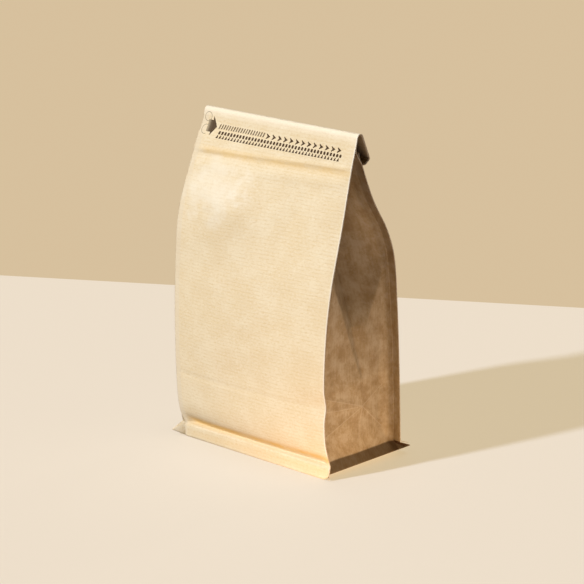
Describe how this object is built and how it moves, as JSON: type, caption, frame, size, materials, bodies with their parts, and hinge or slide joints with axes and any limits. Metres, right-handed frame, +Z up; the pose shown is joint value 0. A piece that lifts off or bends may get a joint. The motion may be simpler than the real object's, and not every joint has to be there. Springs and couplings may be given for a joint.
{
  "type": "coffee bag",
  "caption": "Shut flat-bottomed coffee bag of kraft laminate with corner seals, folded-in side gussets and a folded-over top.",
  "frame": {"origin": "middle of the bag's box in plan, at the plane that the base stands on", "axes": "+Z up, front panel with the tear strip faces -Y, +X to the right of someone who looks at the front"},
  "size_m": [0.1336, 0.0886, 0.2131],
  "materials": {
    "kraft": "brown ribbed kraft paper laminate, satin"
  },
  "bodies": {
    "root": {"coffee_bag": "kraft"}
  },
  "joints": []
}
